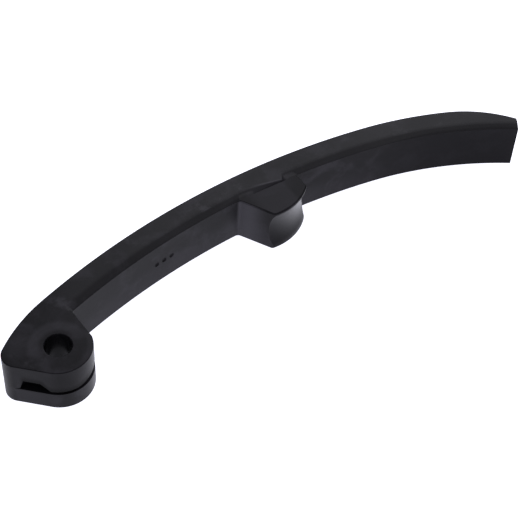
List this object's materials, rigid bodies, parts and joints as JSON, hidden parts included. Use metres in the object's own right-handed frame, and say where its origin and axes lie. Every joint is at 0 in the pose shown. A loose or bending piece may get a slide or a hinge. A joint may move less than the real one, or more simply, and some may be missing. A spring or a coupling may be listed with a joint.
{
  "type": "timing chain guide",
  "caption": "Moulded plastic timing chain guide: a curved rail with a rolled inner edge, a split pivot eye at one end and a thrust pad on its hollow side.",
  "frame": {"origin": "on the pivot bore's axis, at the lower side of the guide as it lies", "axes": "+Z along the pivot bore, +X from the bore towards the free end, +Y towards the convex running face"},
  "size_m": [0.2332, 0.0496, 0.02],
  "materials": {
    "black_plastic": "semi-matte moulded black polyamide"
  },
  "bodies": {
    "root": {"chain_guide": "black_plastic"}
  },
  "joints": []
}
